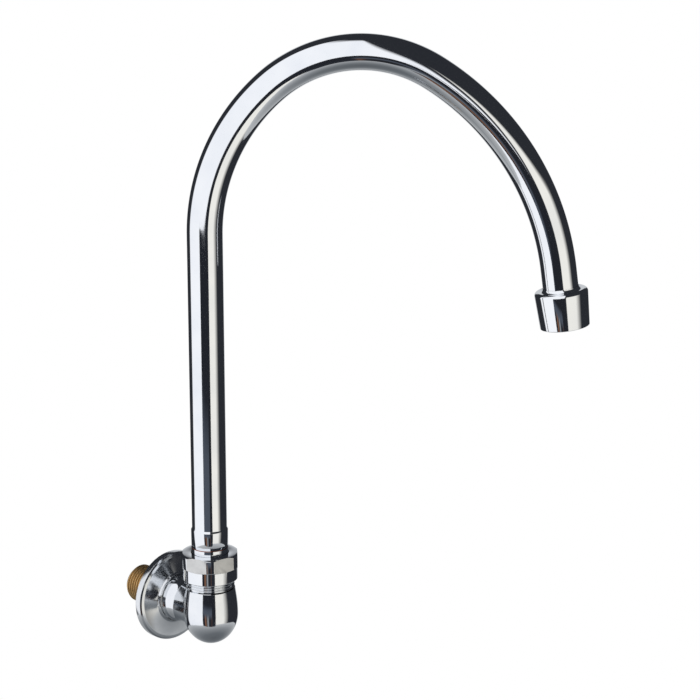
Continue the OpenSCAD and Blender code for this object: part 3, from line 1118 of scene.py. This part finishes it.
@dataclass
class UnionNut:
    """Round nut with a smooth skirt and six milled flats."""

    bottom: float = 18.2
    top: float = 33.2
    shoulder: float = 30.23       # underside of the nut's top
    hex_z: float = 25.7           # where the corners begin
    mill_z: float = 25.0          # how low the cutter goes
    hole_r: float = 10.35
    skirt_r: float = 14.9
    cone: float = 0.5             # height from the skirt out to the corners
    corner_r: float = 16.0
    flat: float = 14.8            # from the axis to each flat
    rest_turn: float = 19.0       # degrees by which the flats are turned
    chamfer: float = 0.8
    lead_r: float = 14.0          # plain mouth below the thread
    lead_z: float = 18.5
    relief_z: float = 29.6        # plain groove above it
    block_width: float = 13.0
    block_depth: float = 6.0
    thread: Thread = Thread(
        root=13.9, crest=13.3, pitch=1.41, low=18.9, high=29.0,
        low_end=13.9, high_end=13.3, fade=0.8,
    )

    def cutter(self) -> Piece:
        """Makes the six blocks that mill the flats.

        Returns:
            The blocks as one tool.
        """
        height = self.top - self.mill_z + 2
        blocks = []
        for i in range(6):
            put_down()
            bpy.ops.mesh.primitive_cube_add(size=1)
            block = bpy.context.active_object
            size = Matrix.Diagonal((self.block_depth, self.block_width, height, 1))
            middle = shift(self.flat + self.block_depth / 2, 0, self.mill_z + height / 2)
            spin = Matrix.Rotation(math.radians(60 * i + self.rest_turn), 4, "Z")
            block.data.transform(spin @ middle @ size)
            blocks.append(block)
        return join(blocks)

    def build(self) -> None:
        """Builds the nut: turned with its thread, then milled."""
        crest = self.thread.crest
        outline = eased([
            (crest, self.relief_z), (crest, self.shoulder, 0.15),
            (self.hole_r, self.shoulder, 0.1),
            (self.hole_r, self.top, 0.2),
            (self.corner_r - 1.3 * self.chamfer, self.top, 0.12),
            (self.corner_r, self.top - self.chamfer, 0.2), (self.corner_r, self.hex_z, 0.15),
            (self.skirt_r, self.hex_z - self.cone, 0.2), (self.skirt_r, self.bottom, 0.35),
            (self.lead_r, self.bottom, 0.1), (self.lead_r, self.lead_z),
        ])[:-1]
        nut = self.thread.turned("union_nut_milled", outline)
        combine(nut, self.cutter(), "DIFFERENCE")
        coat(nut, CHROME, SATIN)
        coat_where(nut, 1, self.on_a_flat)
        settle(nut, ON_RISER, "nut", ["union_nut"], smooth=25)

    def on_a_flat(self, centre: Vector, normal: Vector) -> bool:
        """Says whether a face with that centre and normal lies on a milled flat."""
        away = centre.x * normal.x + centre.y * normal.y
        return abs(normal.z) < 0.02 and abs(away - self.flat) < 0.02 and centre.z > self.mill_z


# ---- Spout ------------------------------------------------------------------------------


@dataclass
class SpoutTube:
    """The bent tube, from its widened end to the outlet collar."""

    tube_r: float = 9.46
    wall: float = 1.0
    swage_r: float = 10.0         # the widened end, which takes the spigot's stub
    swage_low: float = 36.5
    swage_high: float = 46.3
    edge: float = 0.06            # rounding of its lower edge
    leg_top: float = 207.7
    leg_rings: int = 8
    bends: tuple[tuple[float, float, int], ...] = (    # radius, degrees and rings
        (104.0, 48.6, 48), (70.4, 73.4, 72), (144.0, 50.4, 48),
    )
    straight: float = 11.0        # from the last bend to the collar
    socket: float = 6.0           # depth in the collar
    end_gap: float = 0.05
    end_rings: int = 3
    around: int = 128

    def past_bend(self, place: Matrix, radius: float, turned: float) -> Matrix:
        """Follows the tube round one bend.

        Args:
            place: Its frame where the bend starts.
            radius: The bend's radius.
            turned: The degrees that it turns.

        Returns:
            The tube's frame where the bend ends.
        """
        bend = Matrix.Rotation(math.radians(turned), 4, "Y")
        return place @ shift(radius, 0, 0) @ bend @ shift(-radius, 0, 0)

    def outlet(self) -> Matrix:
        """Follows the tube to its outlet.

        Returns:
            Its frame at the collar's top.
        """
        place = shift(0, 0, self.leg_top)
        for radius, turned, _rings in self.bends:
            place = self.past_bend(place, radius, turned)
        return place @ shift(0, 0, self.straight)

    def build(self) -> None:
        """Builds the tube by running one ring along its line."""
        put_down()
        radius, level = self.swage_r - self.edge, self.swage_low
        bpy.ops.mesh.primitive_circle_add(vertices=self.around, radius=radius)
        tube = bpy.context.active_object
        tube.name = tube.data.name = "gooseneck_tube"
        tube.data.transform(shift(0, 0, level))
        bpy.ops.object.mode_set(mode="EDIT")
        bpy.ops.mesh.select_all(action="SELECT")
        profile = [
            (self.swage_r, self.swage_low + 0.1), (self.swage_r, self.swage_high - 0.25),
            (self.swage_r - 0.03, self.swage_high),
            (self.tube_r + 0.12, self.swage_high + 0.75),
            (self.tube_r + 0.02, self.swage_high + 1.0), (self.tube_r, self.swage_high + 1.3),
        ]
        for next_r, next_z in profile:
            extrude((0, 0, next_z - level), next_r / radius)
            radius, level = next_r, next_z
        for _ in range(self.leg_rings):
            extrude((0, 0, (self.leg_top - level) / self.leg_rings))
        place = shift(0, 0, self.leg_top)
        for radius, turned, rings in self.bends:
            centre = (place @ shift(radius, 0, 0)).translation
            axis = place.to_3x3() @ Vector((0, 1, 0))
            bpy.ops.mesh.spin(
                steps=rings, angle=-math.radians(turned), center=centre, axis=axis,
                use_auto_merge=False,
            )
            place = self.past_bend(place, radius, turned)
        down = place.to_3x3() @ Vector((0, 0, 1))
        rest = self.straight + self.socket - self.end_gap
        for _ in range(self.end_rings):
            extrude(down * (rest / self.end_rings))
        close_shell()
        apply_modifier(
            tube, "SOLIDIFY", thickness=self.wall, offset=-1.0, use_even_offset=True
        )
        coat(tube, CHROME)
        settle(tube, ON_SPOUT, "spout", ["spout_tube"])


@dataclass
class Outlet:
    """The turned collar on the tube's end."""

    place: Matrix
    top_r: float = 14.24
    mouth_r: float = 13.15
    length: float = 20.0
    bore_r: float = 11.6          # takes the aerator
    socket: float = 6.0           # depth that takes the tube
    socket_r: float = 9.6
    floor: float = 7.0
    water_r: float = 8.55
    flare: Point = (1.5, 1.8)     # width and height of the fillet up to the tube
    valley: float = 0.3
    rim: Point = (1.95, 1.9)      # width and height of the rounded rim

    def build(self) -> None:
        """Builds the collar."""
        wide, high = self.flare
        fillet = [
            (self.socket_r + wide * (1 - math.cos(a)), self.valley - high * (1 - math.sin(a)))
            for a in quarter(8)
        ]
        wide, high = self.rim
        rim = [
            (self.top_r - 0.02 - wide * (1 - math.sin(a)), high * (1 - math.cos(a)))
            for a in quarter(10)
        ]
        outline = eased([
            (self.socket_r, self.socket), *fillet, *rim, (self.mouth_r, self.length, 0.35),
            (self.bore_r, self.length, 0.15), (self.bore_r, self.floor),
            (self.water_r, self.floor), (self.water_r, self.socket),
        ])
        collar = turn("collar_turned", outline)
        bored, below = self.bore_r + 0.02, (self.socket + self.floor) / 2
        coat(collar, CHROME, BORE_PAINTED_SHADE)
        # Faces in the bore take the unplated finish, painted near black for the shade inside it.
        coat_where(collar, 1, lambda c, _n: math.hypot(c.x, c.y) < bored and c.z > below)
        settle(collar, self.place, "spout", ["outlet_collar"])


def dress_cad_nodes() -> None:
    """Gives the CAD nodes that stay their finishes."""
    finishes = {
        "nipple_washer": FIBRE, "split_thrust_ring": NYLON, "aerator_gasket": RUBBER,
        "aerator_sleeve": ABS_GREY, "flow_disc": ACETAL, "stream_diffuser": ACETAL,
        "upper_screen": STEEL, "lower_screen": STEEL,
    }
    for name, finish in finishes.items():
        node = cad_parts[name]
        for slot in range(max(1, len(node.material_slots))):
            if slot < len(node.material_slots):
                node.material_slots[slot].material = finish.make()
            else:
                node.data.materials.append(finish.make())
        log.info("%s: shape of the CAD, %s", name, finish.name)


# ---- Studio ------------------------------------------------------------------------------


@dataclass(frozen=True)
class Sheet:
    """A sheet of white paper hung round the object, as metal mirrors it.

    Its edges are bearings and elevations in degrees, and each pair of them is
    where a soft edge starts and where it ends.
    """

    tone: str
    across: Four
    upright: Four

    def window(self, tree: Tree, angle: Socket, edges: Four) -> Socket:
        """Masks the angles that lie between two soft edges.

        Args:
            tree: The world's node tree.
            angle: The angle, in radians.
            edges: Where it starts to count, counts in full, ends to do so and stops.

        Returns:
            1 between the edges and 0 beyond them.
        """
        start, full, last, stop = (math.radians(edge) for edge in edges)
        rising = add(
            tree, "MapRange", {"Value": angle, "From Min": start, "From Max": full}
        ).outputs["Result"]
        falling = add(
            tree, "MapRange", {"Value": angle, "From Min": stop, "From Max": last}
        ).outputs["Result"]
        return add(tree, "Math", {0: rising, 1: falling}, operation="MULTIPLY").outputs[0]


@dataclass(frozen=True)
class Card:
    """A dark card, whose lower half shows the brown and grey of a room behind it.

    Its left and right are metres from the riser's axis, as the camera sees them,
    and its low and high are heights. Each colour comes with its place across the
    card, or up it, from 0 to 1.
    """

    name: str
    left: float
    right: float
    low: float
    high: float
    distance: float = 0.7         # before the riser's axis
    columns: tuple[tuple[float, str], ...] = (
        (0.0, "#22242A"), (0.22, "#22242A"), (0.3, "#8A624C"), (0.42, "#5F4A40"),
        (0.46, "#2C2D32"), (0.54, "#A3A6AA"), (0.62, "#6C6F74"), (0.66, "#24262B"),
        (0.86, "#2A2B30"), (0.93, "#7A5642"), (1.0, "#2A2B30"),
    )
    upper: tuple[tuple[float, str], ...] = (
        (0.5, "#565D68"), (0.68, "#4A505B"), (0.76, "#23252B"),
    )
    room_up_to: float = 0.55      # height up to which the room shows
    blur: float = 0.06

    def make(self) -> bpy.types.Material:
        """Prints the card: the room's columns below, and plain dark above.

        Returns:
            The card's material.
        """
        material = bpy.data.materials.new(self.name)
        tree = blank_tree(material)
        place = add(tree, "TexCoord", {}).outputs["Generated"]
        xyz = add(tree, "SeparateXYZ", {"Vector": place})
        columns = add(tree, "ValToRGB", {"Fac": xyz.outputs["X"]})
        set_stops(columns.color_ramp, self.columns)
        upper = add(tree, "ValToRGB", {"Fac": xyz.outputs["Z"]})
        set_stops(upper.color_ramp, self.upper)
        above = add(
            tree, "MapRange",
            {"Value": xyz.outputs["Z"], "From Min": self.room_up_to - self.blur,
             "From Max": self.room_up_to + self.blur},
        ).outputs["Result"]
        mix = add(
            tree, "Mix",
            {"Factor": above, MIX_FROM: columns.outputs["Color"],
             MIX_TO: upper.outputs["Color"]},
            data_type="RGBA",
        )
        glow = add(tree, "Emission", {"Color": mix.outputs[MIX_OUT], "Strength": 1.0})
        add(tree, "OutputMaterial", {"Surface": glow.outputs[0]})
        return material


@dataclass
class Studio:
    """Pale floor, white surroundings, soft lamps and the camera.

    The surroundings that metal mirrors are a product photographer's: a cool
    white sheet on the left, a warmer one on the right, two greyer ones behind,
    and dark gaps between and above them, which draw the dark lines that
    polished metal needs. Lengths are metres, and the sheets' bearings are
    degrees round from the camera, to the right.
    """

    bearing: float = -45.0        # azimuth of the photograph's view
    pitch: float = 14.0
    distance: float = 1.12
    aside: float = 0.076          # camera's place to the right of the riser's axis
    height: float = 0.425
    lens: float = 112.0
    floor_z: float = -0.55
    floor_r: float = 0.9
    floor_middle: Point = (0.05, -0.08)
    lit_middle: tuple[float, float, float] = (0.04, -0.08, 0.13)
    lamp_distance: float = 1.5
    soft_light: float = 0.62      # strength of the white that lights
    mirror_light: float = 1.06    # and of what metal mirrors
    fade: tuple[float, float] = (0.45, 0.86)    # where the floor fades, from its middle
    fade_least: float = 0.35
    dark: str = "#2A2C31"
    cards: tuple[Card, ...] = (
        Card("dark_card", -0.42, 0.15, -0.54, 0.08),
        Card("dark_card_right", 0.1, 0.30, -0.54, 0.15, 0.69,
             upper=((0.0, "#2E3138"), (0.5, "#23252B")), room_up_to=-0.1),
    )
    hung: tuple[Sheet, ...] = (
        Sheet("#F9FAFE", (-108, -104, 5, 9), (-60, -50, 74, 84)),
        Sheet("#F4F1EA", (14, 16, 58, 82), (-60, -50, 10, 16)),
        Sheet("#C9CBCE", (-200, -190, -166, -158), (-40, -34, 17, 23)),
        Sheet("#C9CBCE", (158, 166, 190, 200), (-40, -34, 17, 23)),
    )

    def axes(self) -> tuple[Vector, Vector]:
        """Gives the level directions of the photograph's view.

        Returns:
            The directions towards the camera and to its right.
        """
        a = math.radians(self.bearing)
        back = Vector((math.sin(a), -math.cos(a), 0))
        return back, Vector((math.cos(a), math.sin(a), 0))

    def ray_switch(self, tree: Tree) -> Socket:
        """Tells the rays that see from those that only light.

        Args:
            tree: The world's node tree.

        Returns:
            1 for camera, glossy and transmission rays, and 0 for the rest.
        """
        rays = add(tree, "LightPath", {})
        seen = add(
            tree, "Math",
            {0: rays.outputs["Is Camera Ray"], 1: rays.outputs["Is Glossy Ray"]},
            operation="MAXIMUM",
        )
        return add(
            tree, "Math",
            {0: seen.outputs[0], 1: rays.outputs["Is Transmission Ray"]},
            operation="MAXIMUM",
        ).outputs[0]

    def sheets(self, tree: Tree) -> Socket:
        """Hangs the sheets round the object.

        Args:
            tree: The world's node tree.

        Returns:
            The colour that metal mirrors in each direction.
        """
        way = add(tree, "TexCoord", {}).outputs["Generated"]
        turned = add(
            tree, "Mapping",
            {"Vector": way, "Rotation": (0.0, 0.0, math.radians(90 - self.bearing))},
        ).outputs["Vector"]
        xyz = add(tree, "SeparateXYZ", {"Vector": turned})
        bearing = add(
            tree, "Math", {0: xyz.outputs["Y"], 1: xyz.outputs["X"]}, operation="ARCTAN2"
        ).outputs[0]
        rise = add(tree, "Math", {0: xyz.outputs["Z"]}, operation="ARCSINE").outputs[0]
        shown = add(tree, "RGB", {}).outputs[0]
        shown.default_value = colour(self.dark)
        for sheet in self.hung:
            mask = add(
                tree, "Math",
                {0: sheet.window(tree, bearing, sheet.across),
                 1: sheet.window(tree, rise, sheet.upright)},
                operation="MULTIPLY",
            ).outputs[0]
            shown = add(
                tree, "Mix", {"Factor": mask, MIX_FROM: shown, MIX_TO: colour(sheet.tone)},
                data_type="RGBA",
            ).outputs[MIX_OUT]
        return shown

    def build_world(self) -> None:
        """Makes the world: white to see, soft to light by, sheets to mirror."""
        world = bpy.data.worlds.new("studio")
        bpy.context.scene.world = world
        tree = blank_tree(world)
        rays = add(tree, "LightPath", {})
        soft = add(
            tree, "Background", {"Color": colour("#F4F5F7"), "Strength": self.soft_light}
        )
        seen = add(tree, "Background", {"Color": (1.0, 1.0, 1.0, 1.0), "Strength": 1.0})
        mirrored = add(
            tree, "Background", {"Color": self.sheets(tree), "Strength": self.mirror_light}
        )
        shown = add(
            tree, "MixShader", {0: rays.outputs["Is Glossy Ray"], 1: seen.outputs[0],
                                2: mirrored.outputs[0]},
        )
        whole = add(
            tree, "MixShader", {0: self.ray_switch(tree), 1: soft.outputs[0],
                                2: shown.outputs[0]},
        )
        add(tree, "OutputWorld", {"Surface": whole.outputs[0]})

    def build_floor(self) -> None:
        """Lays the floor, whose edge fades into the white around it, and which metal mirrors as
        a painted grey that is darker towards its middle.
        """
        put_down()
        bpy.ops.mesh.primitive_circle_add(
            vertices=96, radius=self.floor_r, fill_type="NGON", location=(0, 0, 0)
        )
        middle = (*self.floor_middle, self.floor_z)
        floor = bpy.context.active_object
        floor.name = floor.data.name = "studio_floor"
        floor.data.transform(Matrix.Translation(middle))
        material = bpy.data.materials.new("matt_white_board")
        tree = blank_tree(material)
        place = add(tree, "TexCoord", {}).outputs["Object"]
        from_middle = add(
            tree, "VectorMath", {0: place, 1: middle}, operation="DISTANCE"
        ).outputs["Value"]
        fade = add(
            tree, "MapRange",
            {"Value": from_middle, "From Min": self.fade[0], "From Max": self.fade[1],
             "To Min": self.fade_least},
        ).outputs["Result"]
        rays = add(tree, "LightPath", {})
        faded = add(
            tree, "Math", {0: fade, 1: rays.outputs["Is Camera Ray"]}, operation="MULTIPLY"
        ).outputs[0]
        board = add(tree, "BsdfDiffuse", {"Color": colour("#F2F2F0")})
        white = add(tree, "Emission", {"Color": (1.0, 1.0, 1.0, 1.0), "Strength": 1.0})
        seen = add(
            tree, "MixShader", {0: faded, 1: board.outputs[0], 2: white.outputs[0]}
        )
        # Painted shade: to glossy rays the floor glows a grey that is darker towards its middle,
        # under the object, in place of its lit board.
        painted_floor_shade = add(tree, "ValToRGB", {"Fac": from_middle})
        set_stops(painted_floor_shade.color_ramp, [
            (0.0, "#5F6367"), (0.25, "#6C7074"), (0.5, "#8D9093"), (0.72, "#ABADAF"),
            (0.9, "#C4C6C8"),
        ])
        mirrored = add(tree, "Emission", {"Color": painted_floor_shade.outputs["Color"], "Strength": 1.0})
        mix = add(
            tree, "MixShader",
            {0: rays.outputs["Is Glossy Ray"], 1: seen.outputs[0], 2: mirrored.outputs[0]},
        )
        add(tree, "OutputMaterial", {"Surface": mix.outputs[0]})
        floor.data.materials.append(material)

    def build_card(self, card: Card) -> None:
        """Stands a dark card before the object, for metal to mirror.

        Args:
            card: The card.
        """
        back, across = self.axes()
        put_down()
        bpy.ops.mesh.primitive_plane_add(size=1)
        plane = bpy.context.active_object
        plane.name = plane.data.name = card.name
        upright = Matrix((
            (across.x, 0, back.x, 0), (across.y, 0, back.y, 0), (0, 1, 0, 0), (0, 0, 0, 1),
        ))
        size = Matrix.Diagonal((card.right - card.left, card.high - card.low, 1, 1))
        middle = Vector((0, -REACH * MM, (card.low + card.high) / 2)) + back * card.distance
        middle += across * (card.left + card.right) / 2
        plane.data.transform(Matrix.Translation(middle) @ upright @ size)
        plane.data.materials.append(card.make())
        plane.visible_camera = plane.visible_diffuse = plane.visible_shadow = False

    def aim(self, thing: Piece, at: Vector) -> None:
        """Turns a lamp or camera towards a point."""
        thing.rotation_mode = "QUATERNION"
        thing.rotation_quaternion = (at - thing.location).to_track_quat("-Z", "Y")

    def build_lamps(self) -> None:
        """Hangs two soft lamps, which metal doesn't mirror."""
        middle = Vector(self.lit_middle)
        for name, bearing, rise, size, watts in (
            ("key_lamp", -95.0, 48.0, 1.1, 7.5), ("fill_lamp", 35.0, 35.0, 1.0, 3.5),
        ):
            lamp = bpy.data.lights.new(name, "AREA")
            lamp.shape = "SQUARE"
            lamp.size = size
            lamp.energy = watts
            holder = bpy.data.objects.new(name, lamp)
            bpy.context.scene.collection.objects.link(holder)
            a, e = math.radians(bearing), math.radians(rise)
            away = Vector(
                (math.sin(a) * math.cos(e), -math.cos(a) * math.cos(e), math.sin(e))
            )
            holder.location = middle + away * self.lamp_distance
            self.aim(holder, middle)
            holder.visible_glossy = False

    def build_camera(self) -> None:
        """Sets the camera at the photograph's viewing angle."""
        camera = bpy.data.cameras.new("camera")
        holder = bpy.data.objects.new("camera", camera)
        bpy.context.scene.collection.objects.link(holder)
        back, right = self.axes()
        foot = Vector((0, -REACH * MM, 0)) + right * self.aside
        fall = self.distance * math.tan(math.radians(self.pitch))
        holder.location = foot + back * self.distance + Vector((0, 0, self.height))
        self.aim(holder, foot + Vector((0, 0, self.height - fall)))
        camera.sensor_width = 36.0
        camera.lens = self.lens
        camera.clip_start, camera.clip_end = 0.05, 20.0
        bpy.context.scene.camera = holder

    def build(self) -> None:
        """Builds the studio."""
        self.build_world()
        self.build_floor()
        for card in self.cards:
            self.build_card(card)
        self.build_lamps()
        self.build_camera()
        bpy.context.scene.view_settings.view_transform = "Standard"


def main() -> None:
    """Builds the whole scene."""
    logging.basicConfig(level=logging.INFO, format="%(message)s")
    WallElbow().build()
    Swivel().build()
    UnionNut().build()
    tube = SpoutTube()
    tube.build()
    Outlet(place=ON_SPOUT @ tube.outlet()).build()
    dress_cad_nodes()
    Studio().build()
    put_down()


if __name__ == "__main__":
    main()
